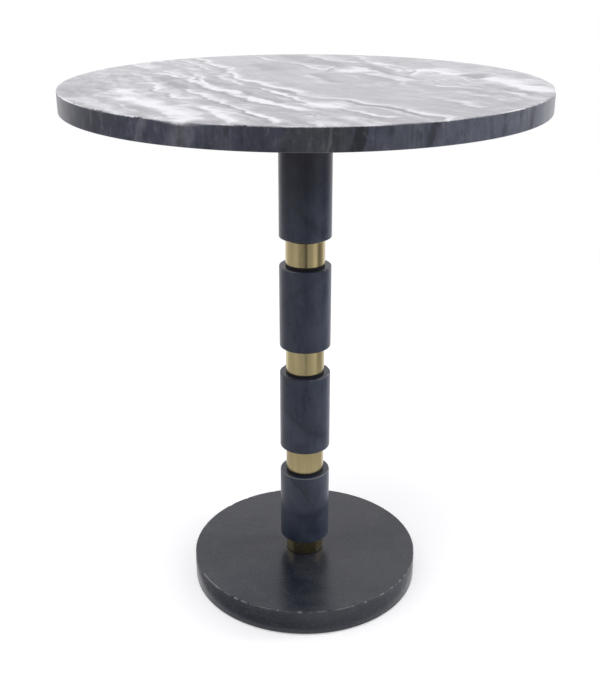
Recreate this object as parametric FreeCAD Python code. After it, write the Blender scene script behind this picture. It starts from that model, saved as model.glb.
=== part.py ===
import FreeCAD, Part
import math
import os

# Round wine table. A marble top and a stone base are clamped together by one tie rod that runs
# through a column of stone sleeves and brass spacers. Millimetres, +Z up, origin on the floor
# under the column's axis. Sleeves and spacers are numbered from the base up.

os.makedirs("parts", exist_ok=True)

# Marble top
TOP_DIAMETER = 450.0
TOP_THICKNESS = 19.2
TOP_ARRIS = 1.0

# Stone base, with a recess below that holds the clamp
BASE_DIAMETER = 241.0
BASE_THICKNESS = 27.0
BASE_ARRIS = 1.2
RECESS_GAP = 2.0
RECESS_HEADROOM = 1.0

# Stone sleeves of the column
SLEEVE_DIAMETER = 52.0
SLEEVE_1_LENGTH = 79.5
SLEEVE_2_LENGTH = 84.5
SLEEVE_3_LENGTH = 85.5
SLEEVE_4_LENGTH = 121.8
SLEEVE_ARRIS = 0.6
SLEEVE_ROD_GAP = 2.0

# Brass spacer tubes. The lowest, on the base, is the short one
SPACER_DIAMETER = 39.5
SPACER_WALL = 2.0
SPACER_LENGTH = 24.6
LOWEST_SPACER_LENGTH = 15.5
SPACER_ARRIS = 0.3

# Black bushes that centre each spacer on the rod. The one on the base has a thin flange
BUSH_FLANGE = 2.2
LOWEST_FLANGE = 0.8
BUSH_FLANGE_INSET = 0.2
BUSH_FIT = 0.15
BUSH_END_GAP = 4.0

# Tie rod, with its nut and washers under the base
ROD_DIAMETER = 12.0
ROD_CHAMFER = 1.2
ROD_FIT = 0.3
ROD_OVERHANG = 1.5
ROD_TOP_GAP = 0.5
THREAD_FIT = 0.1
NUT_WALL = 3.0
NUT_HEIGHT = 6.0
NUT_CHAMFER = 0.8
SPRING_WASHER_WIDTH = 4.5
SPRING_WASHER_THICKNESS = 2.5
SPRING_WASHER_SPLIT = 1.6
CLAMP_WASHER_DIAMETER = 60.0
CLAMP_WASHER_THICKNESS = 3.0
CLAMP_WASHER_ARRIS = 0.4
BASE_GASKET_THICKNESS = 1.5

# Steel plate under the top, its welded boss and the gasket on the top sleeve
PLATE_DIAMETER = 140.0
PLATE_THICKNESS = 5.0
PLATE_ARRIS = 0.6
PLATE_SCREW_COUNT = 4
PLATE_SCREW_INSET = 16.0
PLATE_HOLE_FIT = 0.3
BOSS_WALL = 5.0
BOSS_LENGTH = 16.0
BOSS_FIT = 0.4
BOSS_END_GAP = 2.0
PLATE_GASKET_THICKNESS = 1.0
PLATE_GASKET_INSET = 0.5

# Screws of the plate and the threaded inserts in the marble
SCREW_DIAMETER = 6.0
SCREW_HEAD_DIAMETER = 10.5
SCREW_HEAD_HEIGHT = 3.3
SCREW_HEAD_RIM = 0.9
SCREW_SOCKET = 4.0
SCREW_SOCKET_DEPTH = 2.0
SCREW_END_GAP = 1.0
INSERT_WALL = 2.0
INSERT_FIT = 0.1
INSERT_END_GAP = 1.0
STONE_OVER_INSERT = 6.5

# Rubber feet under the base
FOOT_COUNT = 4
FOOT_DIAMETER = 22.0
FOOT_THICKNESS = 1.5
FOOT_INSET = 7.0
FOOT_ARRIS = 0.4

# Radii that several pieces share
TOP_RADIUS = TOP_DIAMETER / 2
BASE_RADIUS = BASE_DIAMETER / 2
SLEEVE_RADIUS = SLEEVE_DIAMETER / 2
SPACER_RADIUS = SPACER_DIAMETER / 2
ROD_RADIUS = ROD_DIAMETER / 2
STONE_BORE_RADIUS = ROD_RADIUS + SLEEVE_ROD_GAP
THREAD_RADIUS = ROD_RADIUS + THREAD_FIT
CLAMP_RADIUS = CLAMP_WASHER_DIAMETER / 2
BOSS_RADIUS = ROD_RADIUS + BOSS_WALL
BOSS_SEAT_RADIUS = BOSS_RADIUS + BOSS_FIT
PLATE_RADIUS = PLATE_DIAMETER / 2
PLATE_SCREW_CIRCLE = PLATE_RADIUS - PLATE_SCREW_INSET
SCREW_RADIUS = SCREW_DIAMETER / 2
INSERT_RADIUS = SCREW_RADIUS + THREAD_FIT + INSERT_WALL
FOOT_RADIUS = FOOT_DIAMETER / 2
FOOT_CIRCLE = BASE_RADIUS - FOOT_INSET - FOOT_RADIUS

# The column from the base up: each spacer carries the sleeve of the same number
LOWER_FLANGES = [LOWEST_FLANGE, BUSH_FLANGE, BUSH_FLANGE, BUSH_FLANGE]
SPACER_LENGTHS = [LOWEST_SPACER_LENGTH, SPACER_LENGTH, SPACER_LENGTH, SPACER_LENGTH]
SLEEVE_LENGTHS = [SLEEVE_1_LENGTH, SLEEVE_2_LENGTH, SLEEVE_3_LENGTH, SLEEVE_4_LENGTH]


def point(x, y, z):
    return FreeCAD.Vector(x, y, z)


def disc(radius, low, high):
    """A solid cylinder on the column's axis, between two heights."""
    return Part.makeCylinder(radius, high - low, point(0, 0, low))


def ring(outer_radius, inner_radius, low, high):
    """A cylinder with a hole right through it."""
    return disc(outer_radius, low, high).cut(disc(inner_radius, low, high))


def eased(shape, radius, arris):
    """Round the circular edges of one radius, as a mason or turner breaks an arris."""
    edges = []
    for edge in shape.Edges:
        if isinstance(edge.Curve, Part.Circle) and abs(edge.Curve.Radius - radius) < 1e-6:
            edges.append(edge)
    return shape.makeFillet(arris, edges)


def hexagon(across_flats, low, high):
    """A hexagonal prism on the column's axis."""
    corner_radius = hexagon_corner(across_flats)
    corners = []
    for turn in range(0, 361, 60):
        angle = math.radians(turn)
        corners.append(point(corner_radius * math.cos(angle), corner_radius * math.sin(angle), low))
    return Part.Face(Part.makePolygon(corners)).extrude(point(0, 0, high - low))


def hexagon_corner(across_flats):
    """The distance from a hexagon's centre to its corners."""
    return across_flats / math.sqrt(3)


def turned(profile):
    """The solid that a closed outline of (radius, height) edges sweeps about the axis."""
    face = Part.Face(Part.Wire(profile))
    return face.revolve(point(0, 0, 0), point(0, 0, 1), 360)


def line(start, end):
    return Part.makeLine(point(start[0], 0, start[1]), point(end[0], 0, end[1]))


def around(shape, count, circle):
    """Copies of a shape spread evenly on a circle, the first between +X and +Y."""
    copies = []
    for step in range(count):
        angle = 360.0 * (step + 0.5) / count
        copy = shape.copy()
        copy.translate(point(circle, 0, 0))
        copy.rotate(point(0, 0, 0), point(0, 0, 1), angle)
        copies.append(copy)
    return copies


def save(name, *solids):
    shape = solids[0] if len(solids) == 1 else Part.makeCompound(list(solids))
    shape.exportStep("parts/" + name + ".step")


def spacer_bush(tube_length, flange_low, flange_high, spigot_up):
    """A flange against the stone, and a spigot that fills most of its half of the tube."""
    spigot_radius = SPACER_RADIUS - SPACER_WALL - BUSH_FIT
    spigot_length = (tube_length - BUSH_END_GAP) / 2
    if spigot_up:
        low, high = flange_low, flange_high + spigot_length
    else:
        low, high = flange_low - spigot_length, flange_high
    flange = disc(SPACER_RADIUS - BUSH_FLANGE_INSET, flange_low, flange_high)
    bore = disc(ROD_RADIUS + ROD_FIT, low, high)
    return flange.fuse(disc(spigot_radius, low, high)).cut(bore).removeSplitter()


def column_sleeve(low, high):
    sleeve = ring(SLEEVE_RADIUS, STONE_BORE_RADIUS, low, high)
    return eased(sleeve, SLEEVE_RADIUS, SLEEVE_ARRIS)


def hex_nut(low, high):
    """A nut whose corners are turned down at both faces."""
    across_flats = ROD_DIAMETER + 2 * NUT_WALL
    blank = disc(hexagon_corner(across_flats), low, high)
    blank = blank.makeChamfer(NUT_CHAMFER, [edge for edge in blank.Edges if edge.Closed])
    return hexagon(across_flats, low, high).common(blank).cut(disc(THREAD_RADIUS, low, high))


def button_screw(seat, tip):
    """A domed head that hangs below the seat, with a hexagon socket, and a shank up to the tip."""
    head_radius = SCREW_HEAD_DIAMETER / 2
    head_low = seat - SCREW_HEAD_HEIGHT
    rim_low = seat - SCREW_HEAD_RIM
    dome_radius = SCREW_HEAD_HEIGHT - SCREW_HEAD_RIM
    flat_radius = head_radius - dome_radius
    halfway = dome_radius * math.cos(math.radians(45))
    dome = Part.Arc(
        point(flat_radius, 0, head_low),
        point(flat_radius + halfway, 0, rim_low - halfway),
        point(head_radius, 0, rim_low),
    )
    outline = [
        line((0, head_low), (flat_radius, head_low)),
        dome.toShape(),
        line((head_radius, rim_low), (head_radius, seat)),
        line((head_radius, seat), (SCREW_RADIUS, seat)),
        line((SCREW_RADIUS, seat), (SCREW_RADIUS, tip)),
        line((SCREW_RADIUS, tip), (0, tip)),
        line((0, tip), (0, head_low)),
    ]
    return turned(outline).cut(hexagon(SCREW_SOCKET, head_low, head_low + SCREW_SOCKET_DEPTH))


# Rubber feet and the stone base
base_low = FOOT_THICKNESS
base_high = base_low + BASE_THICKNESS
foot = eased(disc(FOOT_RADIUS, 0, base_low), FOOT_RADIUS, FOOT_ARRIS)
save("base_feet", *around(foot, FOOT_COUNT, FOOT_CIRCLE))

clamp_height = BASE_GASKET_THICKNESS + CLAMP_WASHER_THICKNESS + SPRING_WASHER_THICKNESS + NUT_HEIGHT
recess_high = base_low + RECESS_HEADROOM + ROD_OVERHANG + clamp_height
base = ring(BASE_RADIUS, STONE_BORE_RADIUS, base_low, base_high)
base = base.cut(disc(CLAMP_RADIUS + RECESS_GAP, base_low, recess_high))
save("base_disc", eased(base, BASE_RADIUS, BASE_ARRIS))

# Clamp in the recess, from the stone down: gasket, washer, spring washer and nut
gasket_low = recess_high - BASE_GASKET_THICKNESS
save("base_gasket", ring(CLAMP_RADIUS, STONE_BORE_RADIUS, gasket_low, recess_high))

washer_low = gasket_low - CLAMP_WASHER_THICKNESS
clamp_washer = ring(CLAMP_RADIUS, ROD_RADIUS + ROD_FIT, washer_low, gasket_low)
save("clamp_washer", eased(clamp_washer, CLAMP_RADIUS, CLAMP_WASHER_ARRIS))

spring_low = washer_low - SPRING_WASHER_THICKNESS
spring_radius = THREAD_RADIUS + SPRING_WASHER_WIDTH
split = Part.makeBox(
    spring_radius,
    SPRING_WASHER_SPLIT,
    SPRING_WASHER_THICKNESS,
    point(0, -SPRING_WASHER_SPLIT / 2, spring_low),
)
save("spring_washer", ring(spring_radius, THREAD_RADIUS, spring_low, washer_low).cut(split))

nut_low = spring_low - NUT_HEIGHT
save("rod_nut", hex_nut(nut_low, spring_low))

# Column: a spacer with its two bushes, then a sleeve, four times over
column_high = base_high
column = zip(LOWER_FLANGES, SPACER_LENGTHS, SLEEVE_LENGTHS)
for number, (lower_flange, tube_length, sleeve_length) in enumerate(column, start=1):
    tube_low = column_high + lower_flange
    tube_high = tube_low + tube_length
    sleeve_low = tube_high + BUSH_FLANGE
    sleeve_high = sleeve_low + sleeve_length

    tube = ring(SPACER_RADIUS, SPACER_RADIUS - SPACER_WALL, tube_low, tube_high)
    save(f"spacer_tube_{number}", eased(tube, SPACER_RADIUS, SPACER_ARRIS))
    save(f"spacer_bush_lower_{number}", spacer_bush(tube_length, column_high, tube_low, True))
    save(f"spacer_bush_upper_{number}", spacer_bush(tube_length, tube_high, sleeve_low, False))

    sleeve = column_sleeve(sleeve_low, sleeve_high)
    if number == len(SLEEVE_LENGTHS):
        boss_seat_depth = BOSS_LENGTH - PLATE_GASKET_THICKNESS + BOSS_END_GAP
        sleeve = sleeve.cut(disc(BOSS_SEAT_RADIUS, sleeve_high - boss_seat_depth, sleeve_high))
    save(f"column_sleeve_{number}", sleeve)
    column_high = sleeve_high

# Gasket, steel plate and boss on the top sleeve
plate_low = column_high + PLATE_GASKET_THICKNESS
plate_high = plate_low + PLATE_THICKNESS
save("plate_gasket", ring(SLEEVE_RADIUS - PLATE_GASKET_INSET, BOSS_SEAT_RADIUS, column_high, plate_low))

plate_hole = disc(SCREW_RADIUS + PLATE_HOLE_FIT, plate_low, plate_high)
plate = eased(disc(PLATE_RADIUS, plate_low, plate_high), PLATE_RADIUS, PLATE_ARRIS)
for hole in around(plate_hole, PLATE_SCREW_COUNT, PLATE_SCREW_CIRCLE):
    plate = plate.cut(hole)
save("top_plate", plate)
save("plate_boss", ring(BOSS_RADIUS, THREAD_RADIUS, plate_low - BOSS_LENGTH, plate_low))

# Tie rod, from below the nut up into the boss
rod = disc(ROD_RADIUS, nut_low - ROD_OVERHANG, plate_low - ROD_TOP_GAP)
save("tie_rod", rod.makeChamfer(ROD_CHAMFER, [edge for edge in rod.Edges if edge.Closed]))

# Marble top, with its inserts and screws
top_high = plate_high + TOP_THICKNESS
insert_hole_high = top_high - STONE_OVER_INSERT
insert_high = insert_hole_high - INSERT_END_GAP
top = eased(disc(TOP_RADIUS, plate_high, top_high), TOP_RADIUS, TOP_ARRIS)
insert_hole = disc(INSERT_RADIUS + INSERT_FIT, plate_high, insert_hole_high)
for hole in around(insert_hole, PLATE_SCREW_COUNT, PLATE_SCREW_CIRCLE):
    top = top.cut(hole)
save("table_top", top)

insert = ring(INSERT_RADIUS, SCREW_RADIUS + THREAD_FIT, plate_high, insert_high)
save("plate_inserts", *around(insert, PLATE_SCREW_COUNT, PLATE_SCREW_CIRCLE))
screw = button_screw(plate_low, insert_high - SCREW_END_GAP)
save("plate_screws", *around(screw, PLATE_SCREW_COUNT, PLATE_SCREW_CIRCLE))

print("height", round(top_high, 3))
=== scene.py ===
import math

import bmesh
import bpy
from mathutils import Matrix, Vector, noise


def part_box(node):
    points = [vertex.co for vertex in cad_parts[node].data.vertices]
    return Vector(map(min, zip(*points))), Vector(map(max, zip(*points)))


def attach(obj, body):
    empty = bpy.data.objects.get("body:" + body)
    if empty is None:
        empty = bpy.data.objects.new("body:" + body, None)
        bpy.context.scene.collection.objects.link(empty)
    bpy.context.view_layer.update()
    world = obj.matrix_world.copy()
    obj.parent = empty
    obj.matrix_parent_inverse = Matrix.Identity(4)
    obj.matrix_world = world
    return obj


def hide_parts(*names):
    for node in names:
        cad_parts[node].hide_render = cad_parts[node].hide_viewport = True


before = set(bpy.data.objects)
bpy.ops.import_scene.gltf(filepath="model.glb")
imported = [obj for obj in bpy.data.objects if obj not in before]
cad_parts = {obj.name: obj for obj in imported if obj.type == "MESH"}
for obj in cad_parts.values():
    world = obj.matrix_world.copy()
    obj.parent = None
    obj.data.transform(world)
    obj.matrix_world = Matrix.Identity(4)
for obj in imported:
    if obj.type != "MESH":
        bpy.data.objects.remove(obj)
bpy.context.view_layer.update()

# Rubber feet
# Four moulded rubber discs glued under the rim of the base. They keep the stone off the floor and
# take up its unevenness. Their shape is the solid's own, so they only need a dull black rubber.

MM = 0.001
RUBBER_BLACK = (0.018, 0.018, 0.019, 1.0)
RUBBER_DUSTY = (0.05, 0.049, 0.047, 1.0)
RUBBER_ROUGHNESS = (0.75, 0.92)

# A random pattern is given by its patches per metre along X, Y and Z, the number of finer layers in it
# and their weight. A tint is given by the values at which it starts and is full, its share and colour.
RUBBER_DUST = ((260, 260, 260), 6.0, 0.6)
RUBBER_DUST_TINT = ((0.45, 0.8), 1.0, RUBBER_DUSTY)

# Dents are given by the pattern of a fine grain, and by how deep and how strong it is.
RUBBER_GRAIN = ((2400, 2400, 2400), 2.0, 0.5)
RUBBER_DENTS = (0.1 * MM, 0.5)

# Most values of a random pattern lie between these two.
USUAL = (0.3, 0.7)

# The colour sockets of a Mix node go by number, because their names repeat.
MIX_SHARE, MIX_FIRST, MIX_SECOND, MIX_RESULT = 0, 6, 7, 2


def put(tree, kind, sockets=(), **settings):
    """Adds one node. A socket's value is linked if it comes from another node, or else set."""
    made = tree.nodes.new("ShaderNode" + kind)
    for name, value in settings.items():
        setattr(made, name, value)
    for name, value in dict(sockets).items():
        if isinstance(value, bpy.types.NodeSocket):
            tree.links.new(value, made.inputs[name])
        else:
            made.inputs[name].default_value = value
    return made


def new_finish(name):
    """An empty finish: the material, its node tree and its surface shader."""
    material = bpy.data.materials.new(name)
    material.use_nodes = True
    return material, material.node_tree, material.node_tree.nodes["Principled BSDF"]


def laid(tree, turn=None):
    """The piece's own coordinates, turned about the origin if a pattern has a slant."""
    place = put(tree, "TexCoord").outputs["Object"]
    if turn is None:
        return place
    return put(tree, "Mapping", {"Vector": place, "Rotation": turn}).outputs[0]


def cloud(tree, pattern, where=None):
    """Soft random variation from 0 to 1, on the piece's own coordinates unless others are given."""
    stretch, layers, weight = pattern
    if where is None:
        where = laid(tree)
    spread = put(tree, "Mapping", {"Vector": where, "Scale": stretch}).outputs[0]
    sockets = {"Vector": spread, "Scale": 1.0, "Detail": layers, "Roughness": weight}
    return put(tree, "TexNoise", sockets).outputs[0]


def graded(tree, value, span, ends=(0.0, 1.0)):
    """Eases from one end to the other while the value crosses the span."""
    sockets = {
        "Value": value,
        "From Min": span[0],
        "From Max": span[1],
        "To Min": ends[0],
        "To Max": ends[1],
    }
    return put(tree, "MapRange", sockets, interpolation_type="SMOOTHSTEP").outputs[0]


def mixed(tree, share, first, second):
    """A colour between two colours."""
    sockets = {MIX_SHARE: share, MIX_FIRST: first, MIX_SECOND: second}
    return put(tree, "Mix", sockets, data_type="RGBA").outputs[MIX_RESULT]


def tinted(tree, colour, value, tint):
    """A colour that turns towards a tint where the value is in the tint's span."""
    span, share, tone = tint
    return mixed(tree, graded(tree, value, span, (0.0, share)), colour, tone)


def dented(tree, grain, dents):
    """A bumped normal from a fine grain."""
    depth, strength = dents
    sockets = {"Height": cloud(tree, grain), "Distance": depth, "Strength": strength}
    return put(tree, "Bump", sockets).outputs[0]


def dress(material, *nodes):
    """Puts a finish on pieces that keep the shape of their solids."""
    for node in nodes:
        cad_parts[node].material_slots[0].material = material


def rubber_finish():
    material, tree, shader = new_finish("dull_black_rubber")
    dust = cloud(tree, RUBBER_DUST)
    colour = tinted(tree, RUBBER_BLACK, dust, RUBBER_DUST_TINT)
    tree.links.new(colour, shader.inputs["Base Color"])
    tree.links.new(graded(tree, dust, USUAL, RUBBER_ROUGHNESS), shader.inputs["Roughness"])
    tree.links.new(dented(tree, RUBBER_GRAIN, RUBBER_DENTS), shader.inputs["Normal"])
    return material


rubber = rubber_finish()
dress(rubber, "base_feet")

# Stone base
# A thick round slab of charcoal stone, sawn, turned and honed, with a hole for the rod and a recess
# below for the clamp. Its sharp upper edge has been knocked in handling and shows pale nicks. A pale
# line along that edge is partly wear and partly a painted highlight, and a darker patch on the upper
# face in front of the column is a painted reflection of the column.

BASE_STEPS = 720
BASE_ARRIS = 0.7 * MM
BASE_ARRIS_SEGMENTS = 3
BASE_NICK_REACH = 2.0 * MM
BASE_NICK_DEPTH = 0.45 * MM
BASE_NICK_SEED = 3.0
BASE_WEAR_AND_HIGHLIGHT = 0.6
ROD_HOLE_GAP = 2.0 * MM
RECESS_GAP = 2.0 * MM
BASE_STONE = (0.010, 0.0135, 0.024, 1.0)
BASE_STONE_PALE = (0.024, 0.027, 0.036, 1.0)
BASE_STONE_HAZE = (0.039, 0.042, 0.051, 1.0)
BASE_NICK_AND_HIGHLIGHT_PALE = (0.21, 0.21, 0.22, 1.0)

# What shows in the stone: pale patches, smears of haze on the upper face, turning marks and flecks.
BASE_PATCHES = ((10, 24, 20), 6.0, 0.6)
BASE_PATCHES_TINT = ((0.38, 0.66), 1.0, BASE_STONE_PALE)
BASE_SMEARS = ((14, 20, 20), 5.0, 0.6)
BASE_SMEARS_SPAN = (0.35, 0.68)
BASE_TURNING = ((24, 24, 700), 4.0, 0.65)
BASE_TURNING_TINT = ((0.45, 0.75), 0.6, BASE_STONE_HAZE)
BASE_FLECKS = ((360, 360, 360), 3.0, 0.6)
BASE_FLECKS_PALE = ((0.52, 0.74), 0.12, BASE_NICK_AND_HIGHLIGHT_PALE)
BASE_FLECKS_DARK = ((0.48, 0.28), 0.4, BASE_STONE)
BASE_POLISH_SPAN = (0.35, 0.75)
BASE_ROUGHNESS = (0.24, 0.3)
BASE_GRAIN = ((1400, 1400, 1400), 3.0, 0.5)
BASE_DENTS = (0.03 * MM, 0.6)

# A painted reflection of the column, as a darker patch on the upper face in front of it and to its left:
# its middle, and its tint by the distance from there.
BASE_PAINTED_REFLECTION_MIDDLE = (-46.0 * MM, -62.0 * MM, 28.5 * MM)
BASE_PAINTED_REFLECTION_TINT = ((52.0 * MM, 8.0 * MM), 0.8, BASE_STONE)

# The worst knocks on the edge: bearing from the front and half width in degrees, and severity.
BASE_KNOCKS = [
    (-42.0, 4.0, 0.5),
    (-36.5, 1.6, 0.55),
    (-31.5, 2.5, 0.7),
    (-26.0, 2.6, 0.4),
    (-21.5, 1.0, 0.55),
    (-18.5, 1.2, 0.5),
    (-9.0, 3.0, 0.35),
    (-2.7, 1.2, 0.8),
    (2.5, 2.4, 0.4),
    (8.0, 5.0, 0.5),
    (18.0, 1.4, 0.4),
    (31.0, 1.5, 0.7),
    (41.5, 2.2, 0.7),
    (48.7, 2.0, 0.6),
    (52.5, 1.4, 0.4),
    (56.0, 1.5, 0.6),
    (62.0, 2.2, 0.45),
]
KNOCK_SLOPE = 1.6

# Random chips on an edge, in patches per metre: chips, the crumbs beside them, and where they gather.
CHIPS = 150.0
CRUMBS = 420.0
CRUMBS_WEIGHT = 0.5
CLUSTERS = 24.0
CLUSTERS_WEIGHT = 0.6
CHIPS_SPARED = 0.25
CHIPS_GAIN = 1.8
# How the pale line along an edge varies, partly wear and partly a painted highlight: patches per metre
# and weight.
WEAR_AND_HIGHLIGHT_PATCHES = 35.0
WEAR_AND_HIGHLIGHT_PATCHES_WEIGHT = 0.9

# How a nick, and a pale line that is partly wear and partly a painted highlight, come to show.
NICK_SPAN = (0.1, 0.7)
WEAR_AND_HIGHLIGHT_SPAN = (0.3, 0.8)
WEAR_AND_HIGHLIGHT_SHARE = 0.85

# How near two points count as one and a point as on a rim, and which edges and faces stay crisp.
ONE_POINT = 0.001 * MM
ON_RIM = 0.01 * MM
CREASE = math.radians(10)
LEVEL = 0.9999


def reach_of(node):
    """The radius of a round piece that is centred on the column."""
    low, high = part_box(node)
    return min(-low.x, -low.y, high.x, high.y)


def spun(outline, steps, closed=True):
    """A turned shape: an outline of (radius, height) points spun about the column's axis."""
    turned = bmesh.new()
    corners = [turned.verts.new((radius, 0, height)) for radius, height in outline]
    ends = corners[1:] + corners[:1] if closed else corners[1:]
    sides = [turned.edges.new(pair) for pair in zip(corners, ends)]
    bmesh.ops.spin(
        turned,
        geom=corners + sides,
        cent=(0, 0, 0),
        axis=(0, 0, 1),
        angle=math.tau,
        steps=steps,
        use_merge=True,
    )
    bmesh.ops.remove_doubles(turned, verts=turned.verts, dist=ONE_POINT)
    bmesh.ops.recalc_face_normals(turned, faces=turned.faces)
    return turned


def ease(turned, offset, segments, *rims):
    """Breaks the sharp edges that lie on the given (radius, height) circles."""
    edges = []
    for edge in turned.edges:
        ends = [(math.hypot(vert.co.x, vert.co.y), vert.co.z) for vert in edge.verts]
        for rim in rims:
            if all(math.dist(end, rim) < ON_RIM for end in ends):
                edges.append(edge)
    bmesh.ops.bevel(
        turned,
        geom=edges,
        offset=offset,
        segments=segments,
        profile=0.5,
        affect="EDGES",
        material=-1,
    )


def nick(turned, rim, reach, depth, wear_and_highlight_level, seed, knocks=()):
    """Chips the edge on a (radius, height) circle: points near it sink in, and remember how far and how
    strong the pale line there is, which is partly wear and partly a painted highlight.
    """
    chipped = turned.verts.layers.float.new("nick")
    wear_and_highlight_layer = turned.verts.layers.float.new("wear_and_highlight")
    for vert in turned.verts:
        out = math.hypot(vert.co.x, vert.co.y)
        away = math.dist((out, vert.co.z), rim) / reach
        if away > 1.0:
            continue
        place = vert.co + Vector((seed, 0, 0))
        chip = noise.noise(place * CHIPS) + CRUMBS_WEIGHT * noise.noise(place * CRUMBS)
        chip += CLUSTERS_WEIGHT * noise.noise(place * CLUSTERS) - CHIPS_SPARED
        amount = min(1.0, max(0.0, CHIPS_GAIN * chip))
        bearing = math.degrees(math.atan2(vert.co.x, -vert.co.y))
        for middle, width, severity in knocks:
            within = 1.0 - abs(bearing - middle) / width
            amount = max(amount, severity * min(1.0, KNOCK_SLOPE * within))
        amount *= 1.0 - away
        wear_and_highlight = min(1.0, max(0.0, wear_and_highlight_level + WEAR_AND_HIGHLIGHT_PATCHES_WEIGHT * noise.noise(place * WEAR_AND_HIGHLIGHT_PATCHES)))
        vert[chipped] = amount
        vert[wear_and_highlight_layer] = wear_and_highlight * (1.0 - away)
        inward = Vector((-vert.co.x / out, -vert.co.y / out, -1.0))
        vert.co += inward * amount * depth


def made(name, turned, *materials):
    """Turns a finished shape into an object at the origin, soft on its curves and flat where level."""
    mesh = bpy.data.meshes.new(name)
    turned.to_mesh(mesh)
    turned.free()
    mesh.shade_smooth()
    mesh.set_sharp_from_angle(angle=CREASE)
    for face in mesh.polygons:
        face.use_smooth = abs(face.normal.z) < LEVEL
    for material in materials:
        mesh.materials.append(material)
    piece = bpy.data.objects.new(name, mesh)
    bpy.context.scene.collection.objects.link(piece)
    return piece


def stands_for(piece, node):
    """The piece takes a solid's place on the table's one rigid body."""
    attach(piece, "root")
    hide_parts(node)


def sums(tree, operation, *values):
    """Arithmetic on two or three values of a finish."""
    return put(tree, "Math", dict(enumerate(values)), operation=operation).outputs[0]


def axes_of(tree, turn=None):
    """The X, Y and Z of the piece's own coordinates, turned if asked."""
    return put(tree, "SeparateXYZ", {"Vector": laid(tree, turn)}).outputs


def remembered(tree, layer):
    """What the points of a chipped edge remember."""
    return put(tree, "Attribute", attribute_name=layer).outputs["Fac"]


def knocked_and_highlit(tree, colour, pale):
    """Shows the nicks of an edge, and a pale line along it that is partly wear and partly a painted
    highlight, in a paler colour.
    """
    nicks = graded(tree, remembered(tree, "nick"), NICK_SPAN)
    wear_and_highlight = graded(tree, remembered(tree, "wear_and_highlight"), WEAR_AND_HIGHLIGHT_SPAN, (0.0, WEAR_AND_HIGHLIGHT_SHARE))
    return mixed(tree, sums(tree, "MAXIMUM", nicks, wear_and_highlight), colour, pale)


def base_finish():
    material, tree, shader = new_finish("honed_charcoal_stone")
    colour = tinted(tree, BASE_STONE, cloud(tree, BASE_PATCHES), BASE_PATCHES_TINT)
    smears = cloud(tree, BASE_SMEARS)
    upper_face = graded(tree, axes_of(tree)["Z"], (base_high - BASE_ARRIS, base_high))
    haze = sums(tree, "MULTIPLY", upper_face, graded(tree, smears, BASE_SMEARS_SPAN))
    colour = mixed(tree, haze, colour, BASE_STONE_HAZE)
    # Painted reflection of the column: a darker patch on the upper face in front of it.
    apart = put(tree, "VectorMath", {0: laid(tree), 1: BASE_PAINTED_REFLECTION_MIDDLE}, operation="DISTANCE")
    colour = tinted(tree, colour, apart.outputs["Value"], BASE_PAINTED_REFLECTION_TINT)
    colour = tinted(tree, colour, cloud(tree, BASE_TURNING), BASE_TURNING_TINT)
    flecks = cloud(tree, BASE_FLECKS)
    colour = tinted(tree, colour, flecks, BASE_FLECKS_PALE)
    colour = tinted(tree, colour, flecks, BASE_FLECKS_DARK)
    tree.links.new(knocked_and_highlit(tree, colour, BASE_NICK_AND_HIGHLIGHT_PALE), shader.inputs["Base Color"])
    tree.links.new(graded(tree, smears, BASE_POLISH_SPAN, BASE_ROUGHNESS), shader.inputs["Roughness"])
    tree.links.new(dented(tree, BASE_GRAIN, BASE_DENTS), shader.inputs["Normal"])
    return material


base_radius = reach_of("base_disc")
base_low, base_high = (corner.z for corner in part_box("base_disc"))
base_rim = (base_radius, base_high)
hole_radius = reach_of("tie_rod") + ROD_HOLE_GAP
recess_radius = reach_of("clamp_washer") + RECESS_GAP
recess_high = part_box("base_gasket")[1].z
base = spun(
    [
        (hole_radius, base_high),
        (base_radius - BASE_NICK_REACH, base_high),
        base_rim,
        (base_radius, base_high - BASE_NICK_REACH),
        (base_radius, base_low),
        (recess_radius, base_low),
        (recess_radius, recess_high),
        (hole_radius, recess_high),
    ],
    BASE_STEPS,
)
ease(base, BASE_ARRIS, BASE_ARRIS_SEGMENTS, base_rim, (base_radius, base_low))
nick(base, base_rim, BASE_NICK_REACH, BASE_NICK_DEPTH, BASE_WEAR_AND_HIGHLIGHT, BASE_NICK_SEED, BASE_KNOCKS)
stands_for(made("stone_base", base, base_finish()), "base_disc")

# Clamp under the base
# A rubber gasket, a wide steel washer, a split spring washer and a nut pull the rod tight from below.
# They are plain bought parts, zinc plated, and keep the shape of their solids.

ZINC = (0.48, 0.48, 0.46, 1.0)
ZINC_DULL = (0.3, 0.3, 0.29, 1.0)
ZINC_STAINS = ((140, 140, 140), 5.0, 0.6)
ZINC_STAINS_TINT = ((0.35, 0.7), 1.0, ZINC_DULL)
ZINC_ROUGHNESS = (0.28, 0.45)


def zinc_finish():
    material, tree, shader = new_finish("zinc_plated_steel")
    stains = cloud(tree, ZINC_STAINS)
    tree.links.new(tinted(tree, ZINC, stains, ZINC_STAINS_TINT), shader.inputs["Base Color"])
    tree.links.new(graded(tree, stains, USUAL, ZINC_ROUGHNESS), shader.inputs["Roughness"])
    shader.inputs["Metallic"].default_value = 1.0
    return material


zinc = zinc_finish()
dress(rubber, "base_gasket")
dress(zinc, "clamp_washer", "spring_washer", "rod_nut", "tie_rod")

# Brass spacers and their bushes
# Each spacer is a length of satin brass tube, turned and brushed round. A black nylon bush in either
# end centres it on the rod, and the bush's flange shows as a thin black ring against the stone.

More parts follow.
